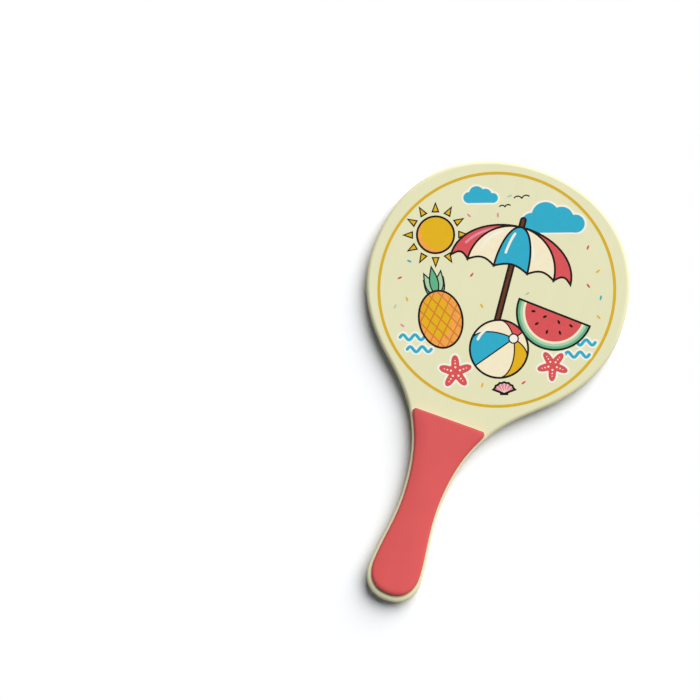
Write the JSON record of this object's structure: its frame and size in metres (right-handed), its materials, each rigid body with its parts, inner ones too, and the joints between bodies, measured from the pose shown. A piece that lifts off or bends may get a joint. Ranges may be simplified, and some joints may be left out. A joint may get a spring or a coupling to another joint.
{
  "type": "frescobol racket",
  "caption": "Flat beach bat with a round head that narrows through curved shoulders to a waisted handle, with a flat rubber scale bonded on each side of the handle.",
  "frame": {"origin": "under the middle of the racket's length and width, in the plane of the back grip scale's flat face", "axes": "+Y along the racket from the butt to the top of the head, +Z square to the printed face and out of it, +X across the face"},
  "size_m": [0.2178, 0.3804, 0.017],
  "materials": {
    "painted_face": "satin cream paint over face veneer",
    "painted_edge": "satin cream paint over sanded ply edges",
    "grip_rubber": "matte soft-touch",
    "adhesive": "clear acrylic sheet"
  },
  "bodies": {
    "root": {"front_face_ply": "painted_face", "front_cross_ply": "painted_edge", "front_inner_ply": "painted_edge", "core_ply": "painted_edge", "back_inner_ply": "painted_edge", "back_cross_ply": "painted_edge", "back_face_ply": "painted_face", "front_grip_adhesive": "adhesive", "back_grip_adhesive": "adhesive", "front_grip_scale": "grip_rubber", "back_grip_scale": "grip_rubber"}
  },
  "joints": []
}
